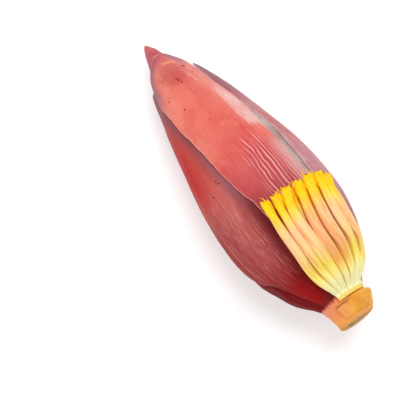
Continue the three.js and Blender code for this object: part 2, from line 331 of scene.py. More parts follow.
def makePiece(name, points, faces, values, material):
    used = np.unique(np.concatenate([np.array(face) for face in faces]))
    place = np.full(len(points), -1)
    place[used] = np.arange(len(used))
    mesh = bpy.data.meshes.new(name)
    mesh.from_pydata(points[used].tolist(), [], [place[face].tolist() for face in faces])
    for key, numbers in values.items():
        mesh.attributes.new(key, "FLOAT", "POINT").data.foreach_set("value", numbers[used].astype(np.float32))
    mesh.polygons.foreach_set("use_smooth", np.ones(len(mesh.polygons), bool))
    mesh.validate()
    piece = bpy.data.objects.new(name, mesh)
    bpy.context.scene.collection.objects.link(piece)
    mesh.materials.append(material)
    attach(piece, "root")
    return piece


def marginCurve(margins, column):
    first = margins[0][0]
    curve = curveThrough([(math.sqrt(row[0] - first), row[column]) for row in margins])
    return lambda station: curve(np.sqrt(np.maximum(station - first, 0)))


def bractPiece(name, bract, material, reliefAt=None):
    steps, columns = bract["grid"]
    margins, seed = bract["margins"], bract["seed"]
    first, last = margins[0][0], margins[-1][0]
    station = easedSteps(first, last, steps)[:, None]
    share = mix(easedSteps(0, 1, columns), np.arange(columns + 1) / columns, 0.6)[None, :]
    radius = layerRadius(station, curveThrough(bract["layers"])(station))
    perDegree = np.radians(1) * radius
    wander = bract["wander"] * smoothstep(0, 12, station - first) / perDegree
    left = marginCurve(margins, 1)(station) + wander * unevenness(station / 3.3, seed, seed)
    right = marginCurve(margins, 2)(station) + wander * unevenness(station / 3.7, seed + 5, seed)
    angle = mix(left, right, share)
    inset = np.minimum(share, 1 - share) * (right - left) * perDegree
    edge = np.minimum(inset, np.minimum(station - first, last - station))
    rounding = np.sqrt(1 - (1 - np.clip(edge / bract["rounding"], 0, 1)) ** 2)
    thickness = acrossSkin("thickness", station)
    spare = np.maximum(thickness - blossom["marginThickness"], 0)
    half = (thickness - spare * falloff(0, blossom["marginWidth"], inset)) / 2
    flare = bract["flare"]
    lift = flare["height"] * falloff(0, flare["length"], station - first)
    lift = lift * falloff(0, flare["spread"], np.abs(angle - flare["angle"]))
    middle = radius + ribAt(station, angle) + lift - thickness + half
    relief, shown = reliefAt(station, angle, edge) if reliefAt else (0, 0 * angle)
    outer = axisPoint(station, angle, middle + half * rounding + relief)
    inner = axisPoint(station, angle, middle - half * rounding)
    rings = toFrame(np.concatenate([outer, inner[:, -2:0:-1]], 1))
    rings[..., 2] = np.maximum(rings[..., 2], 0)  # pressed flat where it rests

    def both(values, under=None):
        top = values + 0 * angle
        low = top if under is None else under + 0 * angle
        return np.concatenate([top, low[:, -2:0:-1]], 1).ravel()

    values = {
        "station": both(station), "angle": both(angle), "edge": both(edge), "shown": both(shown),
        "fromLeft": both(share * (right - left) * perDegree),
        "inside": both(0.0, 1.0),
    }
    points, faces = ringSurface(rings, fold=True)
    piece = makePiece(name, points, faces, values, material)
    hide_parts(bract["node"])
    print("made", name, len(faces), "faces")
    return piece


def lengthwise(skin, around, along, seed, detail=3.0):  # noise drawn out along the blossom
    where = skin.join(skin.read("station") * along, skin.read("angle") * around, seed)
    return skin.noise(where, 1.0, detail, 0.6)


def bractFinish(skin, look, rimShare=1.0):
    # the grain, rim and bump that all the bracts have; the rim is partly the thin margin's own colour, partly
    # painted highlight
    edge, inside = skin.read("edge", "inside")
    fine = lengthwise(skin, look["fineAround"], 0.03, look["seed"])
    broad = lengthwise(skin, look["broadAround"], 0.02, look["seed"] + 7)
    place = skin.place()
    mottle = skin.noise(place, 60.0, 3.0, 0.55)
    body = skin.fade(edge, 0.6, 3.0)
    light = skin.fade(fine, 0.5, 0.72) * look["lightStreaks"] * body
    dark = skin.drop(fine, 0.3, 0.48) * look["darkStreaks"] * body
    skin.paint(light, look["streakLight"])
    skin.paint(dark, look["streakDark"])
    skin.paint(skin.fade(broad, 0.5, 0.75) * look["broadStreaks"], look["streakDark"])
    skin.paint(skin.fade(mottle, 0.45, 0.7) * look["mottle"], look["streakLight"])
    # rim along the margins: partly the thin margin's own colour, partly a painted highlight on its edge
    rim = skin.drop(edge, 0.25, 0.9) * look["rim"] * rimShare
    skin.paint(rim, look["rimTone"])
    skin.paint(inside * 0.85, look["insideTone"])
    height = fine * 0.6 + broad * 0.5 + skin.noise(place, 700.0, 2.0) * 0.18
    bump = skin.bump(height, blossom["veinHeight"] * 0.001)
    rough = look["roughness"] + (mottle - 0.5) * 0.25 + (fine - 0.5) * 0.2
    return skin.finish(rough, bump, Coat_Weight=look["coat"], Coat_Roughness=0.35, IOR=1.45,
                       Sheen_Weight=look["sheen"], Sheen_Roughness=0.5, Specular_IOR_Level=look["gloss"])


# upper bract: salmon, puckered lengthwise toward the florets
upperBract = {
    "node": "upper_bract", "slot": "upper_bract",
    "grid": (230, 190),  # steps along and across
    "seed": 3, "wander": 0.35, "rounding": 0.45,
    # station, layers out from the bud
    "layers": [(10, 1), (18, 1.15), (27, 2), (45, 2.5), (60, 2.9), (75, 3), (80, 3)],
    "flare": {"angle": 20, "spread": 90, "length": 10, "height": 0.3},
    "margins": [  # station, left angle, right angle
        (14.2, 2, 16), (14.9, -12, 34), (16.4, -22, 56), (22, -49, 72), (28, -59, 73), (34, -58, 66),
        (42, -53, 59), (50, -50, 54), (55.5, -44.5, 51.5), (61.5, -39.5, 50.5), (73, -34, 51.2),
        (84, -28.6, 50.5), (95, -24.7, 47.2), (107.5, -21, 44.8), (126, -17, 42.8), (136, -14.5, 42.3),
        (143, -11.2, 42.6), (150, -9.7, 43), (175, -8, 44), (192, -6, 45), (216.6, -5, 46),
    ],
    "tones": {
        10: "#a85c5e", 18: "#d46668", 25: "#e0746e", 33: "#de6c63", 42: "#df6c61", 55: "#ea7668",
        80: "#ea7162", 98: "#e05e56", 112: "#da5650", 125: "#cc5252", 138: "#c04a4e", 150: "#a0383a",
        170: "#7c2a2c", 216: "#8a3a30",
    },
    # the second and third tones here are painted light on the right side
    "leftTone": "#f58a76", "rightSideLightTone": "#f79a92", "highlightTone": "#f8d2cf",
    "cloudDark": "#d5524c", "cloudLight": "#f4917f",
    # the crest and valley tones are painted highlight and painted shade on the puckers
    "crestHighlightTone": "#f4b0b4", "valleyShadeTone": "#ac3a40", "blotchTone": "#c04a44",
    "warmTone": "#ee6246", "nickTone": "#a0181c", "dryTone": "#f2a06a", "greyTone": "#86586a",
    "violetTone": "#9a6a78", "dryEdgeTone": "#d98845", "peelTone": "#f8bcae",
    "nicks": [  # station, angle, size in mm
        (34.6, 38.5, 1.0), (42.8, 38.4, 0.7), (41.2, 6.4, 1.0), (43.5, 7.8, 0.9), (45.5, 9, 0.6),
        (35.7, -20.9, 0.7), (66.5, 25.4, 0.6), (51.8, -26.2, 0.6), (64.8, -12.2, 0.7),
        (82.4, 4.6, 0.5), (33.8, 35.5, 0.6), (55, 12, 0.4), (61, -28, 0.4), (47, 36, 0.4), (49, 33, 0.4),
    ],
    "pucker": {
        "pitch": 2.9, "height": 0.5, "reach": 18,
        "start": 101, "startAngle": 24, "leftLean": 0.4, "rightLean": 1.05,
    },
    "fineAround": 1.1, "broadAround": 0.16, "lightStreaks": 0.16, "darkStreaks": 0.1, "broadStreaks": 0.1,
    "streakLight": "#f9a899", "streakDark": "#b9413e", "mottle": 0.12,
    "rim": 0.65, "rimTone": "#f7b3a6", "insideTone": "#a8474a",
    "roughness": 0.42, "coat": 0.05, "gloss": 0.14, "sheen": 0.0,
}


def upperRelief(station, angle, edge):
    pucker = upperBract["pucker"]
    aside = angle - pucker["startAngle"]
    begin = pucker["start"] + np.maximum(aside * pucker["rightLean"], -aside * pucker["leftLean"])
    begin = begin + 9 * unevenness(angle / 3.2, 2, 11)
    share = smoothstep(begin, begin + pucker["reach"], station)
    share = share * smoothstep(-13, 15, angle) * smoothstep(0.5, 3.5, edge)
    bend = 0.34 * unevenness(station / 13, angle / 12, 21) + 0.22 * unevenness(station / 4.5, angle / 6, 22)
    phase = (angle + 1.6 * unevenness(angle / 8, 3, 23)) / pucker["pitch"] + bend
    crest = (0.5 + 0.5 * np.cos(2 * np.pi * phase)) ** 0.9
    strength = share * (0.65 + 0.6 * unevenness(station / 11, angle / 2.9, 31))
    dents = 0.14 * unevenness(station / 22, angle / 13, 41) + 0.05 * unevenness(station / 6, angle / 5, 42)
    # shown: the crests (plus) and valleys (minus) of the puckers, for the painted highlight and shade on the
    # skin
    shown = np.clip(strength, 0, 1) * (crest * 2 - 1) * smoothstep(-16, 16, angle)
    return pucker["height"] * strength * crest + dents * smoothstep(0, 4, edge) + 0.1, shown


def upperSkin(look):
    skin = Skin("upperBractSkin")
    station, angle = skin.read("station", "angle")
    patches = skin.noise(skin.join(station * 0.05, angle * 0.05, 4.0), 1.0, 2.0)
    drawn = lengthwise(skin, 0.5, 0.025, 15.0)
    skin.colour = skin.ramp(station + (patches - 0.5) * 16, 10, 216, look["tones"])
    left = skin.drop(angle, -24, 8) * skin.window(station, 30, 108, 10)
    skin.paint(left * 0.7, look["leftTone"])
    middle = skin.window(angle + (drawn - 0.5) * 12, 8, 24, 7) * skin.window(station, 42, 136, 10)
    skin.paint(middle * 0.3, look["cloudDark"])
    # painted light: the right side of the upper bract is made lighter
    right = skin.fade(angle, 23, 42) * (1.3 - skin.fade(station, 95, 125)) * skin.window(station, 24, 150, 10)
    skin.paint(right * 0.42, look["rightSideLightTone"])
    # painted highlight: pale pink streaks along the right margin
    highlightStreaks = skin.window(angle + (drawn - 0.5) * 20, 33, 50, 6) * skin.window(station, 64, 106, 9)
    specks = lengthwise(skin, 0.9, 0.16, 16.0)
    highlightStreaks = highlightStreaks * (0.25 + skin.fade(drawn, 0.4, 0.6) * 0.4 + skin.fade(specks, 0.42, 0.56) * 0.5)
    skin.paint(highlightStreaks, look["highlightTone"])
    # more painted highlight, a broad pale patch lower down the right side
    lateHighlight = skin.window(angle, 32, 50, 6) * skin.window(station, 118, 158, 10)
    skin.paint(lateHighlight * 0.5, look["highlightTone"])
    place = skin.place()
    cloud = skin.noise(place, 42.0, 5.0, 0.62)
    bare = skin.window(station, 26, 128, 12)
    skin.paint(skin.fade(cloud, 0.5, 0.66) * bare * 0.42, look["cloudDark"])
    skin.paint(skin.drop(cloud, 0.34, 0.48) * bare * 0.4, look["cloudLight"])
    warm = skin.dot(angle + (cloud - 0.5) * 20, station + (drawn - 0.5) * 20, (36.5, 109), (9, 9))
    skin.paint(warm * 0.6, look["warmTone"])
    # painted highlight on the pucker crests and painted shade in the valleys between them
    crest = skin.read("shown")
    skin.paint(skin.fade(crest, 0.0, 0.7) * 0.7, look["crestHighlightTone"])
    skin.paint(skin.fade(crest * -1.0, 0.0, 0.7) * 0.6, look["valleyShadeTone"])
    upperMarks(skin, look, cloud, specks)
    return bractFinish(skin, look)


def upperMarks(skin, look, cloud, specks):  # blotch, grey and dry margins, scratches, a peeled line and nicks
    station, angle, edge = skin.read("station", "angle", "edge")
    rough = skin.noise(skin.join(station * 0.4, angle * 0.3, 9.0), 1.0, 3.0) - 0.5
    blotch = skin.dot(angle + rough * 40 + (cloud - 0.5) * 60, station + rough * 16, (6, 36), (26, 13))
    skin.paint(blotch * 0.5, look["blotchTone"])
    violet = skin.fade(angle + rough * 10, 30, 44) * skin.drop(station + rough * 5, 24, 36)
    skin.paint(violet * 0.8, look["violetTone"])
    fromLeft = skin.read("fromLeft") + rough * 3
    grey = skin.drop(fromLeft, 1.5, 10) * skin.drop(station, 40, 62) * skin.fade(station, 14, 20)
    skin.paint(grey * 0.8, look["greyTone"])
    dryEdge = skin.drop(edge, 0.5, 1.6) * skin.window(angle, -16, 20, 5)
    dryEdge = dryEdge * skin.drop(station, 17, 22)
    skin.paint(dryEdge, look["dryEdgeTone"])
    scratch = abs(station - (24.4 + (angle - 9) * 0.11) + rough * 3)
    scratch = skin.drop(scratch, 0.6, 1.5) * skin.window(angle, 4, 38, 3) * skin.fade(rough, -0.2, 0.02)
    skin.paint(scratch, look["dryTone"])
    peel = abs(angle - (26.3 + (station - 36) * 0.36) + rough * 16)
    peel = skin.drop(peel, 0.8, 2.2) * skin.window(station, 37, 51, 2) * skin.fade(specks, 0.4, 0.5)
    skin.paint(peel * 0.7, look["peelTone"])
    for alongPlace, anglePlace, size in look["nicks"]:
        width = size * 57 / max(10.0, float(layerRadius(np.array(float(alongPlace)), 2.5)))
        nick = skin.dot(angle + rough * width * 3.4, station + rough * size * 3.4,
                        (anglePlace, alongPlace), (width * 1.3, size * 1.3))
        skin.paint(nick * 0.8, look["nickTone"])


bractPiece("upperBract", upperBract, upperSkin(upperBract), upperRelief)

# left bract: maroon with a grey-violet band along the upper bract's margin
upperLeft = marginCurve(upperBract["margins"], 1)
leftBract = {
    "node": "left_bract", "slot": "left_bract",
    "grid": (190, 150),
    "seed": 13, "wander": 0.3, "rounding": 0.45,
    "layers": [(28, 1), (45, 1.5), (60, 1.9), (75, 2), (80, 2)],
    "flare": {"angle": -92, "spread": 34, "length": 26, "height": 2},
    "margins": [
        (33, -86, -74), (34.5, -98, -62), (38, -106, -46), (44, -111, -34), (56, -114, -26),
        (72, -115, -17), (92, -111, -9), (110, -104, -4), (128, -97, 0), (142, -97.5, 5), (150, -97, 7),
        (158, -95.5, 7), (166, -93.5, 7), (175, -88, 6), (181, -79, 3), (187, -63, -1.5),
        (192, -57.2, -7.5), (216.6, -57.2, -7),
    ],
    "tones": {
        33: "#8c6068", 48: "#9a6468", 60: "#b45c5e", 72: "#c4504e", 85: "#ca4a46", 105: "#cc524a",
        120: "#d0625a", 140: "#ce6a64", 155: "#c6605c", 170: "#ba5856", 185: "#a43a3c", 195: "#98141a",
        204: "#a6080f", 211: "#a80a10", 216.6: "#8a1a1c",
    },
    "bandTones": {
        33: "#a07c84", 58: "#95585e", 85: "#8f5054", 105: "#985a60", 125: "#94606a", 138: "#80484e",
        147: "#6c3a44", 157: "#50262a", 170: "#5a1a1e", 216: "#741a1e",
    },
    "foldAngle": -64.5, "foldReach": (140, 182), "foldHeight": 0.3, "foldWidth": 1.6,
    # the deep tone is painted shade on the lower side, away from the upper bract
    "redTone": "#c41e20", "shadedSideTone": "#92282a", "shadeTone": "#741a1f",
    "scratchTone": "#dc9490", "dimTone": "#8a1c22",
    # the fold tone is a painted highlight along the fold
    "beyondTone": "#96201f", "foldHighlightTone": "#e48c7c",
    "spots": [(117.5, -28.6, 0.8), (119.5, -27.5, 0.5), (123.6, -40.5, 0.6)],  # as nicks
    "spotTone": "#5a1a20",
    "fineAround": 1.25, "broadAround": 0.2, "lightStreaks": 0.34, "darkStreaks": 0.3, "broadStreaks": 0.15,
    "streakLight": "#cc5e58", "streakDark": "#74141a", "mottle": 0.08,
    "rim": 0.5, "rimTone": "#d98a80", "insideTone": "#7c2a30",
    "roughness": 0.42, "coat": 0.04, "gloss": 0.01, "sheen": 0.0,
}


def softDents(station, angle, seed):
    broad = 0.12 * unevenness(station / 24, angle / 14, seed)
    return broad + 0.05 * unevenness(station / 7, angle / 5, seed + 1)


def besideUpper(station, angle, edge):  # the relief, and the way out from the upper bract's margin in mm
    away = (upperLeft(station) - angle) * np.radians(1) * layerRadius(station, 2)
    start, end = leftBract["foldReach"]
    fold = np.exp(-(((angle - leftBract["foldAngle"]) / leftBract["foldWidth"]) ** 2))
    fold = fold * smoothstep(start - 8, start + 8, station) * falloff(end - 8, end + 8, station)
    relief = (softDents(station, angle, 51) + leftBract["foldHeight"] * fold) * smoothstep(0, 4, edge)
    return relief * falloff(0, 8, -away), away


def leftSkin(look):
    skin = Skin("leftBractSkin")
    station, angle, away = skin.read("station", "angle", "shown")
    rough = lengthwise(skin, 0.35, 0.04, 31.0) - 0.5
    skin.colour = skin.ramp(station + rough * 10, 30, 217, look["tones"])
    red = skin.window(station + rough * 50, 74, 124, 20) * skin.fade(away + rough * 12, 9, 24)
    skin.paint(red * 0.72, look["redTone"])
    # painted shade: the lower side of the left bract, far from the upper bract's margin, is darkened
    shadedSide = skin.window(station, 126, 206, 12) * skin.fade(away + rough * 10, 14, 34)
    skin.paint(shadedSide * 0.55, look["shadedSideTone"])
    band = skin.drop(away + rough * 7, 2.0, 11.5)
    skin.colour = skin.blend(band * 0.85, skin.colour, skin.ramp(station, 30, 217, look["bandTones"]))
    shade = skin.window(station, 142, 204, 10) * skin.drop(away + rough * 8, 6, 20)
    skin.paint(shade * 0.6, look["shadeTone"])
    line = skin.noise(skin.join(station * 0.08, angle * 2.1 + rough * 2, 7.0), 1.0, 2.0, 0.6)
    where = skin.noise(skin.join(station * 0.035, angle * 0.11, 8.0), 1.0, 3.0, 0.6)
    pale = skin.fade(line, 0.5, 0.64) * skin.fade(where, 0.34, 0.54) * skin.fade(away, 4, 10)
    pale = pale * skin.window(station, 122, 190, 12)
    skin.paint(pale * 0.75, look["scratchTone"])
    dim = skin.drop(line, 0.32, 0.44) * skin.fade(where, 0.36, 0.6)
    skin.paint(dim * 0.4, look["dimTone"])
    beyond = look["foldAngle"] - angle + rough * 5
    alongFold = skin.window(station, *look["foldReach"], 6)
    skin.paint(skin.fade(beyond, 0, 4) * alongFold * 0.7, look["beyondTone"])
    # painted highlight along the crest of the fold
    fold = skin.drop(abs(beyond), 0.4, 1.5) * alongFold * skin.fade(line, 0.36, 0.5)
    skin.paint(fold * 0.8, look["foldHighlightTone"])
    ragged = skin.noise(skin.join(station * 0.5, angle * 0.4, 6.0), 1.0, 3.0) - 0.5
    for alongPlace, anglePlace, size in look["spots"]:
        spot = skin.dot(angle + ragged * 3, station + ragged * 3, (anglePlace, alongPlace),
                        (size * 1.6, size * 1.3))
        skin.paint(spot * 0.75, look["spotTone"])
    return bractFinish(skin, look, 1 - skin.fade(station, 158, 170) * 0.9)


bractPiece("leftBract", leftBract, leftSkin(leftBract), besideUpper)

# right bract: pink-violet under a pale bloom
rightBract = {
    "node": "right_bract", "slot": "right_bract",
    "grid": (170, 140),
    "seed": 23, "wander": 0.3, "rounding": 0.45,
    "layers": [(60, 2), (80, 2)],
    "flare": {"angle": 88, "spread": 45, "length": 130, "height": 1.7},
    "margins": [
        (33, 80, 88), (34.5, 71.5, 98), (38, 66.5, 106), (44, 61.5, 113), (56, 54.8, 120),
        (70, 53.2, 125), (80, 54, 129), (91, 59, 133), (105, 60.5, 138), (117, 57, 143), (128, 54.8, 146),
        (143, 53, 149), (158, 50, 150), (175, 48, 150), (192, 48, 147), (216.6, 48, 145),
    ],
    "tones": {
        33: "#86485a", 50: "#984e5c", 63: "#9c4e5c", 75: "#b86064", 90: "#ca7476", 100: "#ca6260",
        110: "#ca5c5e", 122: "#cc787a", 140: "#c87e86", 160: "#bc767c", 175: "#aa4850", 195: "#90282e",
        216.6: "#842224",
    },
    "farTone": "#9c3e48", "greyTone": "#cdb2b0", "dustTone": "#ddb8bc", "fleckTone": "#b4506a",
    "fineAround": 1.2, "broadAround": 0.22, "lightStreaks": 0.3, "darkStreaks": 0.22, "broadStreaks": 0.12,
    "streakLight": "#e2aeb4", "streakDark": "#963c48", "mottle": 0.15,
    "rim": 0.5, "rimTone": "#e8c4c4", "insideTone": "#8a3f48",
    "roughness": 0.45, "coat": 0.03, "gloss": 0.14, "sheen": 0.05,
}


def dented(station, angle, edge):  # plain dents, and nothing to show
    return softDents(station, angle, 61) * smoothstep(0, 4, edge), 0 * angle


def rightSkin(look):
    skin = Skin("rightBractSkin")
    station, angle = skin.read("station", "angle")
    rough = lengthwise(skin, 0.3, 0.04, 41.0) - 0.5
    skin.colour = skin.ramp(station + rough * 36, 30, 217, look["tones"])
    far = skin.fade(angle + rough * 20, 96, 130)
    skin.paint(far * 0.85, look["farTone"])
    speck = lengthwise(skin, 0.4, 0.09, 12.0, 4.0)
    beside = skin.drop(skin.read("fromLeft") + rough * 14, 1, 8)
    grey = skin.fade(speck, 0.42, 0.56) * beside * skin.window(station, 72, 160, 10)
    skin.paint(grey * 0.75, look["greyTone"])
    dusty = skin.fade(speck, 0.5, 0.6) * skin.fade(station, 112, 124)
    skin.paint(dusty * (0.35 - far * 0.27), look["dustTone"])
    flecks = lengthwise(skin, 1.2, 0.4, 42.0, 2.0)
    flecks = skin.fade(flecks, 0.52, 0.62) * skin.fade(station, 88, 112)
    skin.paint(flecks * 0.4, look["fleckTone"])
    return bractFinish(skin, look)


bractPiece("rightBract", rightBract, rightSkin(rightBract), dented)

# inner bract: the grey-beige strip between the upper and right bracts
innerBract = {
    "node": "inner_bract", "slot": "inner_bract",
    "grid": (150, 110),
    "seed": 33, "wander": 0.2, "rounding": 0.4,
    "layers": [(28, 1), (60, 1)],
    "flare": {"angle": 88, "spread": 45, "length": 130, "height": 0.6},
    "margins": [
        (37, 78, 90), (38.5, 66, 102), (43, 50, 112), (53, 38, 124), (70, 28, 130), (100, 22, 134),
        (150, 16, 134), (191, 16, 132),
    ],
    "swell": 1.5, "swellStart": (62, 84),
    # the pale tones from station 83 on are partly the strip's own grey-beige, partly painted light that
    # offsets the shade of the groove
    "tones": {
        30: "#9a787c", 40: "#8a5a64", 55: "#75434e", 72: "#9a6a6c", 83: "#d2b4ae", 98: "#d8c6c0",
        112: "#b89e9c", 125: "#ccb6b0", 145: "#c4aeac", 170: "#a08080", 191: "#7a3c42",
    },
    "fineAround": 1.2, "broadAround": 0.25, "lightStreaks": 0.3, "darkStreaks": 0.2, "broadStreaks": 0.15,
    "patches": 0.45, "patchTone": "#b88280",
    "streakLight": "#c4b0ac", "streakDark": "#6e4048", "mottle": 0.15,
    "rim": 0.4, "rimTone": "#b89a98", "insideTone": "#6e3038",
    "roughness": 0.5, "coat": 0.02, "gloss": 0.12, "sheen": 0.05,
}


def stationSkin(name, look, seed):
    skin = Skin(name)
    station = skin.read("station")
    rough = lengthwise(skin, 0.3, 0.04, seed) - 0.5
    skin.colour = skin.ramp(station + rough * 10, min(look["tones"]) - 1, 217, look["tones"])
    patches = skin.noise(skin.join(station * 0.16, skin.read("angle") * 0.14, seed + 3), 1.0, 4.0, 0.6)
    skin.paint(skin.fade(patches, 0.48, 0.58) * look["patches"], look["patchTone"])
    # painted shade: the shown value darkens the inner bract's crevice under the right bract's margin, in the
    # dark streak tone; the under bract gives none
    skin.paint(skin.read("shown") * 0.8, look["streakDark"])
    return bractFinish(skin, look)


def risenStrip(station, angle, edge):  # it swells up into the groove between the two bracts over it
    upperRight = marginCurve(upperBract["margins"], 2)(station)
    rightLeft = marginCurve(rightBract["margins"], 1)(station)
    groove = smoothstep(upperRight - 6, upperRight, angle)
    groove = groove * falloff(rightLeft + 0.6, rightLeft + 2.4, angle)
    # painted shade in the crevice under the right bract's margin
    creviceShade = smoothstep(rightLeft - 2.6, rightLeft - 0.6, angle) * smoothstep(96, 112, station)
    dents = dented(station, angle, edge)[0]
    swell = innerBract["swell"] * groove * smoothstep(*innerBract["swellStart"], station)
    return dents + swell * smoothstep(0, 4, edge), creviceShade


bractPiece("innerBract", innerBract, stationSkin("innerBractSkin", innerBract, 51.0), risenStrip)

# under bract: dark maroon, the one the blossom rests on
underBract = {
    "node": "under_bract", "slot": "under_bract",
    "grid": (160, 170),
    "seed": 43, "wander": 0.25, "rounding": 0.45,
    "layers": [(22, 1), (60, 1)],
    "flare": {"angle": 212, "spread": 50, "length": 24, "height": 0.8},
    "margins": [
        (22, 206, 216), (24, 192, 222), (30, 170, 230), (40, 152, 238), (56, 141, 242), (72, 138, 243),
        (82, 137, 256), (92, 137, 264), (110, 137, 271), (128, 137, 281), (142, 137, 292),
        (154, 137, 306), (175, 137, 316), (188, 145, 305), (192, 149, 302), (216.6, 147, 302),
    ],
    "swell": 1.5, "outerSwell": 1.0, "swellStart": (150, 166), "swellEnd": (186, 212),
    "tones": {
        22: "#7c3a44", 45: "#8a2a34", 80: "#901a22", 120: "#942426", 145: "#9c3230", 165: "#8a2224",
        190: "#78141a", 211: "#801418", 216.6: "#841a1c",
    },
    "fineAround": 1.2, "broadAround": 0.2, "lightStreaks": 0.3, "darkStreaks": 0.25, "broadStreaks": 0.15,
    "patches": 0.3, "patchTone": "#701218",
    "streakLight": "#c04c46", "streakDark": "#640f16", "mottle": 0.08,
    "rim": 0.3, "rimTone": "#8a2428", "insideTone": "#70282c",
    "roughness": 0.42, "coat": 0.04, "gloss": 0.01, "sheen": 0.0,
}


def besideLeft(station, angle, edge):  # it swells up beside the left bract's lower margin
    away = marginCurve(leftBract["margins"], 1)(station) - (angle - 360)
    outer = underBract["outerSwell"] * smoothstep(1, 10, away) * falloff(172, 197, station)
    swell = underBract["swell"] * smoothstep(-1.4, 0.1, away) + outer
    swell = swell * falloff(28, 62, away) * smoothstep(*underBract["swellStart"], station)
    return swell * falloff(*underBract["swellEnd"], station), 0 * angle


bractPiece("underBract", underBract, stationSkin("underBractSkin", underBract, 61.0), besideLeft)

# inner bud: the pointed tip
innerBud = {
    "node": "inner_bud", "slot": "inner_bud",
    "steps": 170, "sides": 150,
    "lap": {"rise": (5, 7), "fall": (8, 12), "angle": 75, "edge": (41, 55), "height": 0.25},
    "tones": {
        0: "#a8584a", 2.5: "#c8605a", 6: "#d2606c", 12: "#c8566a", 20: "#b44a5c", 30: "#96424e",
        60: "#7c3038", 206: "#6e2a30",
    },
    "seamTone": "#e88a58", "dryTone": "#f0905a", "streakLight": "#e89aa0", "streakDark": "#8a2c40",
}


def budPiece(bud):
    station = easedSteps(0.05, blossom["budBase"], bud["steps"])[:, None]
    angle = (np.arange(bud["sides"]) * 360 / bud["sides"])[None, :]
    lap = bud["lap"]
    turned = np.abs((angle - lap["angle"] + 540) % 360 - 180)
    along = smoothstep(*lap["rise"], station) * falloff(*lap["fall"], station)
    raised = lap["height"] * along * falloff(*lap["edge"], turned)
    start = smoothstep(0, 0.5, station) * 0.35 + smoothstep(0.5, 2.0, station) * 0.65
    radius = coreRadius(station) * mix(0.35, 1, start) + raised
    radius = radius * (1 + 0.02 * unevenness(station / 5, angle / 30, 71))
    points, faces = ringSurface(toFrame(axisPoint(station, angle, radius)))
    values = ringValues(radius.shape, station=(station, [0, blossom["budBase"]]),
                        angle=((angle + 180) % 360 - 180, [0, 0]), lap=(turned, [0, 0]))
    piece = makePiece("innerBud", points, faces, values, budSkin(bud))
    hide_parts(bud["node"])
    print("made innerBud", len(faces), "faces")


def budSkin(look):
    skin = Skin("innerBudSkin")
    station, lap = skin.read("station", "lap")
    drawn = lengthwise(skin, 0.12, 0.1, 71.0)
    fine = lengthwise(skin, 0.5, 0.1, 72.0)
    skin.colour = skin.ramp(station + (drawn - 0.5) * 3, 0, 206, look["tones"])
    seam = skin.window(lap + (drawn - 0.5) * 8, 43, 51, 4) * skin.drop(station, 8, 13)
    skin.paint(seam * 0.6, look["seamTone"])
    dry = skin.drop(station + (drawn - 0.5) * 4, 1.5, 4) * skin.fade(fine, 0.4, 0.6)
    skin.paint(dry * 0.8, look["dryTone"])
    skin.paint(skin.fade(fine, 0.5, 0.7) * 0.35, look["streakLight"])
    skin.paint(skin.drop(fine, 0.3, 0.5) * 0.3, look["streakDark"])
    return skin.finish(0.4 + (drawn - 0.5) * 0.2, skin.bump(fine, 0.0003), Coat_Weight=0.1)


budPiece(innerBud)

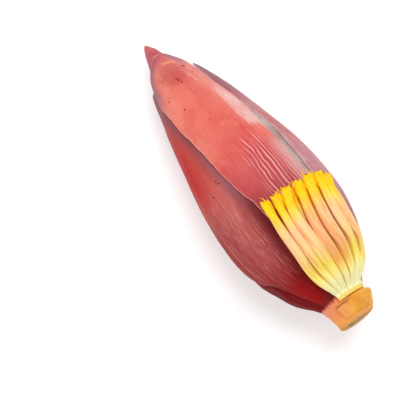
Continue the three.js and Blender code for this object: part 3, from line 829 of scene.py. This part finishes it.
# hand of florets
floretHand = {
    "node": "floret_hand", "slot": "floret_hand",
    "guides": (153, 172, 190, 205, 219.3),  # stations where a floret's angles are given
    "shoulderFall": (185, 212), "rootFall": (211, 219.3), "rootRadius": 17.6,
    "rows": [
        {
            "raise": 0, "threads": 1, "halfWidth": 2.7, "slim": 0.5,
            "girths": (1, 1, 1, 1, 1),
            "heads": (1, 1, 1, 1, 1),
            "lifts": (0, 0, 0, 0, 0),
            "florets": [  # station of the head, angles at the guides
                (158, 8.6, 5.3, 5, 6.4, 12.2), (154.6, 16.4, 13.2, 13.1, 17.9, 21.8),
                (157.5, 27.6, 22.6, 21.4, 28, 32), (158, 35.6, 31.9, 32.4, 42, 41.2),
                (159, 42, 39.7, 41, 52.8, 48.3),
            ],
        },
        {
            "raise": 3.5, "threads": 2, "halfWidth": 3.1, "slim": 1,
            "girths": (0.88, 0.88, 1.16, 1.03, 1.14, 1.04, 1.14),
            "heads": (0.88, 0.92, 1.1, 1.12, 1.16, 1.2, 1.1),
            "lifts": (0, 0, 0.4, 0.1, 0.5, 0, 0),
            "florets": [
                (152.8, -2.6, -5, -6.2, -9.2, -1.6), (153.4, 4.4, 2.1, 1.2, 1.4, 7.7),
                (153.6, 12.8, 8.5, 8.7, 11.4, 16.7), (153.8, 23.6, 18.4, 16.8, 22.6, 27.3),
                (154.2, 31.2, 26.8, 26.4, 34.6, 37), (155, 39.8, 36.2, 37.2, 47.2, 45),
                (158, 43.8, 42.7, 44.2, 57, 51.5),
            ],
        },
    ],
    "flatness": 0.86, "clearance": 1,
    "outline": [  # share of the length, of the half width
        (0, 0.5), (0.08, 0.64), (0.2, 0.94), (0.36, 1.1), (0.54, 1.14), (0.7, 1.1), (0.8, 0.98),
        (0.86, 0.93), (0.91, 1.04), (0.96, 1.14), (1, 1.0),
    ],
    "mouth": [  # share of the rim's width, mm forward of it
        (0.88, 0.1), (0.72, -0.3), (0.55, -1.0), (0.44, -0.9), (0.42, 0.0), (0.5, 0.8), (0.44, 1.5),
        (0.24, 1.9),
    ],
    "reach": 2.1, "notch": 0.3,
    "sides": 34, "steps": 76,
    # stations start and end, angles from and to, radii inner, first and last
    "cushion": {"start": 217.3, "end": 221.3, "from": -6, "to": 59, "inner": 16.4, "first": 18.9, "last": 18},
    "tones": {
        0: "#fffac8", 0.13: "#fff8b4", 0.2: "#fff184", 0.29: "#ffe75c", 0.42: "#ffd98e", 0.6: "#fccb98",
        0.7: "#fbd684", 0.77: "#fbdc50", 0.84: "#ffd21c", 0.93: "#ffcc0c", 1: "#fac404",
    },
    # the flank tone is partly a blush and partly painted shade; the two crease tones are painted shade
    "blushAndShadeTone": "#f59a5c", "creaseShadeTone": "#a83410", "rootCreaseShade": "#d69c14",
    # the lump tone is painted shade in the hollows of the heads
    "streakLight": "#fff0dc", "streakDark": "#f4a64c", "lumpShadeTone": "#e39a00", "mouthTone": "#b97a10",
    "cushionTones": ("#f2c63c", "#fff08c"),
    "thread": {
        "steps": 12, "sides": 8, "width": 0.34, "tipWidth": 0.05, "length": 2.6, "spareLength": 1.6,
        "forward": 0.8, "outward": 0.5, "wave": 0.25,
    },
}


def draw(seed):
    value = math.sin(seed * 12.9898) * 43758.5453
    return (value - math.floor(value)) * 2 - 1


def floretSpine(hand, floret, raised, halfWidth, share):
    station = mix(hand["guides"][-1], floret[0], share)
    angle = curveThrough(list(zip(hand["guides"], floret[1:])))(station)
    lying = layerRadius(station, 3) + blossom["ribHeight"]
    lying = lying + (hand["clearance"] + halfWidth * hand["flatness"]) * slant(station)
    lifted = lying + raised * falloff(*hand["shoulderFall"], station)
    return axisPoint(station, angle, mix(lifted, hand["rootRadius"], smoothstep(*hand["rootFall"], station)))


def floretRings(hand, row, number, raised, turn, seed):
    floret, girth, headGirth = row["florets"][number], row["girths"][number], row["heads"][number]
    halfWidth = row["halfWidth"]
    share = mix(easedSteps(0, 1, hand["steps"]), np.arange(hand["steps"] + 1) / hand["steps"], 0.5)[:, None]
    around = (2 * np.pi * np.arange(hand["sides"]) / hand["sides"])[None, :]
    centre = floretSpine(hand, floret, raised, halfWidth, share)
    ahead = floretSpine(hand, floret, raised, halfWidth, share + 0.01)
    forward = unit(ahead - floretSpine(hand, floret, raised, halfWidth, share - 0.01))
    side = unit(np.cross(forward, unit(centre * [0, 1, 1])))
    up = np.cross(side, forward)

    lobeCount = np.round(5 * (around - turn) / (2 * np.pi)) % 5
    lobe = 0.5 + 0.5 * np.cos(5 * (around - turn))
    toothSize = 0.75 + 0.6 * np.vectorize(draw)(seed * 7 + lobeCount)
    opening = smoothstep(0.88, 1, share)
    slim = mix(row["slim"], 1, smoothstep(0.4, 0.75, share))
    half = halfWidth * curveThrough(hand["outline"])(share) * (1 - hand["notch"] * opening * (1 - lobe))
    half = half * (1 + 0.2 * opening * lobe * np.vectorize(draw)(seed * 11 + lobeCount))
    half = half * slim * mix(1, girth, smoothstep(0.05, 0.3, share))
    half = half * mix(1, headGirth / girth, smoothstep(0.84, 0.92, share))
    angular = 1 + 0.035 * np.cos(3 * around + seed) * smoothstep(0.05, 0.4, share)
    lumps = 0.13 * smoothstep(0.8, 0.92, share) * unevenness(share * 34, around * 2 + 20 * seed, 82)
    half = half * (angular + lumps + 0.02 * unevenness(share * 7, around * 3 + seed, 83))
    tooth = hand["reach"] * toothSize * smoothstep(0.94, 1, share) * lobe ** 1.2
    sway = smoothstep(0.84, 1, share)[..., None]
    centre = centre + sway * (side * 0.9 * draw(seed + 200) + up * 0.5 * draw(seed + 220))
    centre = centre - up * ((1 - slim) * halfWidth * hand["flatness"])[..., None]

    widths, forwards = np.array(hand["mouth"]).T[..., None]  # the rings that turn in at the mouth
    half = np.concatenate([half, half[-1:] * widths])
    tooth = np.concatenate([tooth, np.where(widths > 0.7, tooth[-1:], 0) * widths + forwards])
    last = len(share) - 1
    rows = np.minimum(np.arange(len(half)), last)
    rings = centre[rows] + side[rows] * (half * np.cos(around))[..., None]
    rings = rings + up[rows] * (half * hand["flatness"] * np.sin(around))[..., None]
    rings = rings + forward[rows] * tooth[..., None]
    return rings, np.concatenate([share, 1.0 + 0.1 * (0.92 - widths)]), around


def threadRings(hand, rings, floretNumber, threadNumber):
    # a thin dry thread that curls away from the rim of a head
    thread = hand["thread"]
    rim = rings[-1 - len(hand["mouth"])]
    middle = rim.mean(0)
    seed = 13 * floretNumber + 5 * threadNumber
    root = rim[int((draw(seed) + 1) / 2 * (len(rim) - 1))]
    forward = unit(middle - rings[-9 - len(hand["mouth"])].mean(0))
    outward = unit(root - middle)
    across = np.cross(forward, outward)
    along = np.linspace(0, 1, thread["steps"])[:, None]
    length = thread["length"] + thread["spareLength"] * abs(draw(seed + 2))
    away = forward * thread["forward"] + outward * thread["outward"]
    line = root - outward * 0.3 + away * length * along + across * draw(seed + 1) * length * along**2
    line += outward * thread["wave"] * np.sin(along * 9 + seed)
    turn = np.arange(thread["sides"])[None, :, None] * 2 * np.pi / thread["sides"]
    width = (thread["width"] * (1 - along**3) + thread["tipWidth"])[:, :, None]
    return line[:, None] + width * (np.cos(turn) * outward + np.sin(turn) * across)


def ringOfPart(cushion, steps, columns, swell=0.0):
    # rounded bar along an arc of the stem, built of sections
    loop = 2 * np.pi * (np.arange(columns) + 0.5) / columns
    square = np.stack([np.cos(loop), np.sin(loop)])
    square = np.sign(square) * np.abs(square) ** 0.45
    share = (square[0] + 1) / 2
    up = (square[1] + 1) / 2
    angle = mix(cushion["from"], cushion["to"], np.linspace(0, 1, steps + 1))[:, None]
    station = mix(cushion["start"], cushion["end"], share)[None, :]
    outer = mix(cushion["first"], cushion["last"], share)[None, :]
    bumpy = swell * unevenness(angle / 4, station / 2, 91) * up[None, :]
    ends = np.minimum(angle - cushion["from"], cushion["to"] - angle)
    tuck = np.sqrt(1 - (1 - np.clip(ends / 2.5, 0, 1)) ** 2)
    middle = mix(cushion["inner"], (cushion["first"] + cushion["last"]) / 2, 0.5)
    radius = mix(cushion["inner"], outer, up[None, :]) + bumpy
    radius = mix(mix(middle, radius, 0.8), radius, tuck)
    return axisPoint(station, angle, radius), station + 0 * radius, angle + 0 * radius


def handPieces(hand):
    surfaces, seed = [], 1
    for row in hand["rows"]:
        for number, lift in enumerate(row["lifts"]):
            raised = row["raise"] + 0.4 * abs(draw(seed)) + lift
            rings, share, around = floretRings(hand, row, number, raised, 0.5 * draw(seed + 40), seed)
            tint = draw(seed + 80)
            values = ringValues(rings.shape[:2], reach=(share, [0, 1.1]), flank=(np.cos(around), [0, 0]),
                                tint=(tint, [tint, tint]), station=(share * 70, [0, 75]),
                                angle=(np.degrees(around) * 0.3 + 37 * seed, [0, 0]))
            surfaces.append((*ringSurface(toFrame(rings)), values))
            for thread in range(row["threads"]):
                points, faces = ringSurface(toFrame(threadRings(hand, rings, seed, thread)))
                fixed = {"reach": 0.97, "flank": 0, "tint": 0, "station": 68, "angle": seed}
                values = {key: np.full(len(points), float(value)) for key, value in fixed.items()}
                surfaces.append((points, faces, values))
            seed += 1
    piece = makePiece("floretHand", *joined(surfaces), floretSkin(hand))
    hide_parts(hand["node"])
    cushion = hand["cushion"]
    rings, station, angle = ringOfPart(cushion, 90, 24, 0.25)
    values = ringValues(station.shape, station=(station, [219, 219]),
                        angle=(angle, [cushion["from"], cushion["to"]]))
    piece = makePiece("floretCushion", *ringSurface(toFrame(rings)), values, cushionSkin(hand))
    print("made floretHand of", len(surfaces), "florets and threads")


softFlesh = {"Subsurface_Radius": (0.004, 0.002, 0.0008), "Subsurface_Scale": 1.0}  # of florets and cushion


def floretSkin(look):
    skin = Skin("floretSkin")
    reach, flank, tint = skin.read("reach", "flank", "tint")
    fine = lengthwise(skin, 0.5, 0.05, 101.0)
    patches = lengthwise(skin, 0.08, 0.06, 102.0)
    skin.colour = skin.ramp(reach + (patches - 0.5) * 0.1 + tint * 0.02, 0, 1, look["tones"])
    body = skin.window(reach, 0.2, 0.8, 0.1)
    # random blush from the patches, and painted shade on one flank of each floret
    blushAndFlankShade = skin.fade(patches + tint * 0.14 + flank * -0.12, 0.42, 0.72) * body
    skin.paint(blushAndFlankShade * 0.75, look["blushAndShadeTone"])
    # painted shade along the sides where the florets meet, brown up the body and darker yellow at the roots
    sides = skin.fade(abs(flank), 0.84, 0.98)
    skin.paint(sides * skin.window(reach, 0.34, 0.9, 0.1) * 0.75, look["creaseShadeTone"])
    skin.paint(sides * skin.window(reach, 0.06, 0.3, 0.06) * 0.6, look["rootCreaseShade"])
    skin.paint(skin.fade(fine, 0.54, 0.72) * 0.35 * body, look["streakLight"])
    skin.paint(skin.drop(fine, 0.3, 0.45) * 0.2, look["streakDark"])
    place = skin.place()
    lumps = skin.noise(place, 420.0, 3.0, 0.6)
    head = skin.fade(reach, 0.8, 0.88)
    # painted shade in the hollows between the lumps of the heads
    skin.paint(skin.drop(lumps, 0.35, 0.5) * head * 0.4, look["lumpShadeTone"])
    skin.paint(skin.fade(reach, 1.01, 1.05), look["mouthTone"])
    height = fine * (1 - head) + lumps * head * 1.6
    # the florets glow faintly in their own colour: painted light
    return skin.finish(0.42 + (fine - 0.5) * 0.2, skin.bump(height, 0.0005), **softFlesh,
                       Subsurface_Weight=0.06, Coat_Weight=0.05,
                       Emission_Color=skin.colour, Emission_Strength=0.14)


def cushionSkin(look):
    skin = Skin("cushionSkin")
    fine = lengthwise(skin, 0.6, 0.8, 103.0)
    skin.colour = skin.blend(skin.fade(fine, 0.3, 0.7), *map(tone, look["cushionTones"]))
    # the cushion glows faintly in its own colour: painted light
    return skin.finish(0.5 + (fine - 0.5) * 0.2, skin.bump(fine, 0.0006), **softFlesh,
                       Subsurface_Weight=0.1, Emission_Color=skin.colour, Emission_Strength=0.1)


handPieces(floretHand)

# stem with its collar and cut end
stem = {
    "node": "stem", "slot": "stem",
    "profile": [  # station, radius
        (206, 17.2), (208.5, 16.6), (211, 15.4), (213.5, 13.4), (216.64, 12.1), (216.7, 15.8),
        (219.5, 15), (223, 13.9), (228, 12.9), (232.7, 12.5), (233.1, 12.3), (233.5, 11.8),
    ],
    "face": [(233.45, 11.2), (233.3, 10), (233.25, 7), (233.3, 4), (233.3, 1.5)],
    "sides": 160,
    "collar": {"start": 222, "end": 232.2, "from": -22, "to": 118, "inner": 10, "first": 18.6, "last": 13.4},
    "tones": {
        206: "#a8502c", 215: "#e88458", 219: "#f69468", 224: "#f69662", 229: "#f8a054", 233.5: "#f0a244",
    },
    "collarTones": {
        222: "#f6c640", 223.2: "#f2aa42", 226: "#f8ac44", 230: "#feb64c", 232.6: "#f6a640",
    },
    # the collar line tone is a painted shadow line
    "collarLeft": "#f09a62", "collarMiddle": "#d98626", "collarShadowLine": "#8a4a12", "tornTone": "#96262a",
    "spots": [(226.5, -66, 0.8), (223.4, 110, 0.7), (230.6, 113, 1.0)],  # station, angle, size in mm
    "spotTone": "#7a4030",
    "streakTone": "#fcc878", "mottleTone": "#c0702c",
    "cutTone": "#fbac50", "fleshTones": ("#9c7434", "#d0a24a"), "fleshFleck": "#5c3a1a",
    "outerFlesh": "#e09a3e", "outerFleck": "#7a4a1c",
}


def stemPieces(look):
    angle = (np.arange(look["sides"]) * 360 / look["sides"])[None, :]
    stations = []
    profile = look["profile"]
    for (start, startRadius), (end, endRadius) in zip(profile, profile[1:]):
        steps = max(1, int((end - start) / 0.5))
        for i in range(steps):
            stations.append((mix(start, end, i / steps), mix(startRadius, endRadius, i / steps)))
    stations += [profile[-1]] + look["face"]
    station = np.array([row[0] for row in stations])[:, None]
    radius = np.array([row[1] for row in stations])[:, None]
    outside = smoothstep(217, 219, station) * falloff(232.8, 233.4, station)
    grooves = 0.16 * unevenness(angle / 5, station / 9, 111) + 0.07 * unevenness(angle / 2, station / 5, 112)
    radius = radius + grooves * outside
    points, faces = ringSurface(toFrame(axisPoint(station, angle, radius)))
    cut = smoothstep(233.0, 233.25, station)
    rise = radius * np.cos(np.radians(angle - 22))
    values = ringValues(radius.shape, station=(station, [206, blossom["length"]]), angle=(angle, [0, 0]),
                        radius=(radius, [0, 0]), cut=(cut, [0, 1]), rise=(rise, [0, 0]))
    piece = makePiece("stemBody", points, faces, values, stemSkin("stemSkin", look))
    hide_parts(look["node"])
    collar = look["collar"]
    rings, station, angle = ringOfPart(collar, 160, 60, 0.15)
    nothing = (0, [0, 0])
    values = ringValues(station.shape, station=(station, [227, 227]), radius=nothing, cut=nothing,
                        rise=nothing, angle=(angle, [collar["from"], collar["to"]]))
    piece = makePiece("stemCollar", *ringSurface(toFrame(rings)), values, stemSkin("collarSkin", look))
    print("made the stem and its collar")


def cutFace(skin, look, mottle):  # orange above, olive and flecked below
    cut, fleck = skin.read("cut"), skin.noise(skin.place(), 420.0, 2.0, 0.5)
    flesh = skin.blend(skin.fade(mottle, 0.35, 0.65), *map(tone, look["fleshTones"]))
    flesh = skin.blend(skin.fade(fleck, 0.54, 0.62) * 0.8, flesh, tone(look["fleshFleck"]))
    outer = skin.fade(skin.read("radius") + (mottle - 0.5) * 4, 6.0, 9.0)
    flesh = skin.blend(outer, flesh, tone(look["outerFlesh"]))
    flesh = skin.blend(skin.fade(fleck, 0.58, 0.66) * 0.6, flesh, tone(look["outerFleck"]))
    low = skin.drop(skin.read("rise") + (mottle - 0.5) * 8, -1, 6)
    skin.paint(cut, look["cutTone"])
    skin.colour = skin.blend(cut * low, skin.colour, flesh)


def stemSkin(name, look):
    skin = Skin(name)
    station, angle = skin.read("station", "angle")
    fine = lengthwise(skin, 0.35, 0.12, 121.0)
    mottle = skin.noise(skin.place(), 130.0, 3.0, 0.6)
    if name == "collarSkin":
        skin.colour = skin.ramp(station + (fine - 0.5) * 2, 222, 233.5, look["collarTones"])
        left = skin.drop(angle + (mottle - 0.5) * 30, -8, 14)
        skin.paint(left * 0.6, look["collarLeft"])
        middle = skin.window(angle + (mottle - 0.5) * 26, 12, 34, 8)
        skin.paint(middle * 0.45, look["collarMiddle"])
        # painted shadow: a thin dark line along the collar's lower edge, where it meets the neck on the left
        line = skin.window(station + (mottle - 0.5) * 2.4, 222.6, 223.8, 0.4) * skin.drop(angle, 4, 22)
        skin.paint(line * 0.85, look["collarShadowLine"])
    else:
        skin.colour = skin.ramp(station + (fine - 0.5) * 3, 206, 233.5, look["tones"])
        torn = skin.drop(station + (fine - 0.5) * 9 + (mottle - 0.5) * 4, 217.4, 218.6)
        skin.paint(torn, look["tornTone"])
    for alongPlace, anglePlace, size in look["spots"]:
        spot = skin.dot(angle, station, (anglePlace, alongPlace), (size * 5, size))
        skin.paint(spot * 0.85, look["spotTone"])
    skin.paint(skin.fade(fine, 0.5, 0.7) * 0.25, look["streakTone"])
    skin.paint(skin.drop(mottle, 0.3, 0.46) * 0.35, look["mottleTone"])
    cutFace(skin, look, mottle)
    height = fine * 0.7 + mottle * 0.5
    # the stem and collar glow faintly in their own colour: painted light
    return skin.finish(0.55 + (mottle - 0.5) * 0.2, skin.bump(height, 0.0006),
                       Emission_Color=skin.colour, Emission_Strength=0.05)


stemPieces(stem)

# floor, light and camera
studio = {
    "azimuth": 53.8, "elevation": 75.2, "distance": 0.9,
    "target": (0, 0, 0.046),
    "floorReach": 4, "floorGlow": 0.42, "floorTones": ("#e4e4e4", "#dcdcdc"),
    "lamps": [  # name, place beside and above the camera's line, size, power
        ("key", 0.13, 0.48, 0.6, 6.0),
        ("fill", -0.85, 0.1, 0.8, 3.6),
    ],
    "lampTarget": (0, 0, 0.04), "world": 0.45,
    "lens": 127.354, "sensor": 36, "shift": (-0.12431, -0.07039), "clip": (0.01, 20),
}


def viewAxes(look):
    turn, tilt = math.radians(look["azimuth"]), math.radians(look["elevation"])
    toCamera = Vector((math.sin(turn) * math.cos(tilt), -math.cos(turn) * math.cos(tilt), math.sin(tilt)))
    right = Vector((math.cos(turn), math.sin(turn), 0))
    return toCamera, right, toCamera.cross(right)


def softLight(name, place, target, size, power):
    lamp = bpy.data.lights.new(name, "AREA")
    lamp.shape, lamp.size, lamp.energy = "DISK", size, power
    holder = bpy.data.objects.new(name, lamp)
    holder.location = place
    holder.rotation_euler = (Vector(place) - Vector(target)).to_track_quat("Z", "Y").to_euler()
    bpy.context.scene.collection.objects.link(holder)


def placeCamera(look):
    toCamera, right, up = viewAxes(look)
    camera = bpy.data.objects.new("camera", bpy.data.cameras.new("camera"))
    camera.data.lens, camera.data.sensor_width = look["lens"], look["sensor"]
    camera.data.shift_x, camera.data.shift_y = look["shift"]
    camera.data.clip_start, camera.data.clip_end = look["clip"]
    place = Matrix.Translation(Vector(look["target"]) + toCamera * look["distance"])
    camera.matrix_world = place @ Matrix((right, up, toCamera)).transposed().to_4x4()
    bpy.context.scene.collection.objects.link(camera)
    bpy.context.scene.camera = camera


def layFloor(look):
    mesh = bpy.data.meshes.new("floor")
    reach = look["floorReach"]
    mesh.from_pydata([(-reach, -reach, 0), (reach, -reach, 0), (reach, reach, 0), (-reach, reach, 0)],
                     [], [(0, 1, 2, 3)])
    floor = bpy.data.objects.new("floor", mesh)
    bpy.context.scene.collection.objects.link(floor)
    skin = Skin("floorSkin")
    faint = skin.noise(skin.place(), 3.0, 2.0)
    skin.colour = skin.blend(faint * 0.1, *map(tone, look["floorTones"]))
    mesh.materials.append(skin.finish(0.8, skin.bump(faint, 0.0001), Emission_Color=tone("#ffffff"),
                                      Emission_Strength=look["floorGlow"]))


def lightUp(look):
    world = bpy.data.worlds.new("studio")
    world.use_nodes = True
    sky = world.node_tree.nodes["Background"]
    sky.inputs["Color"].default_value = (1, 1, 1, 1)
    sky.inputs["Strength"].default_value = look["world"]
    bpy.context.scene.world = world
    toCamera, right, up = viewAxes(look)
    for name, aside, above, size, power in look["lamps"]:
        softLight(name, toCamera + right * aside + up * above, look["lampTarget"], size, power)
    view = bpy.context.scene.view_settings
    view.view_transform, view.look, view.exposure = "Standard", "None", 0.0


placeCamera(studio)
layFloor(studio)
lightUp(studio)
print("studio ready")
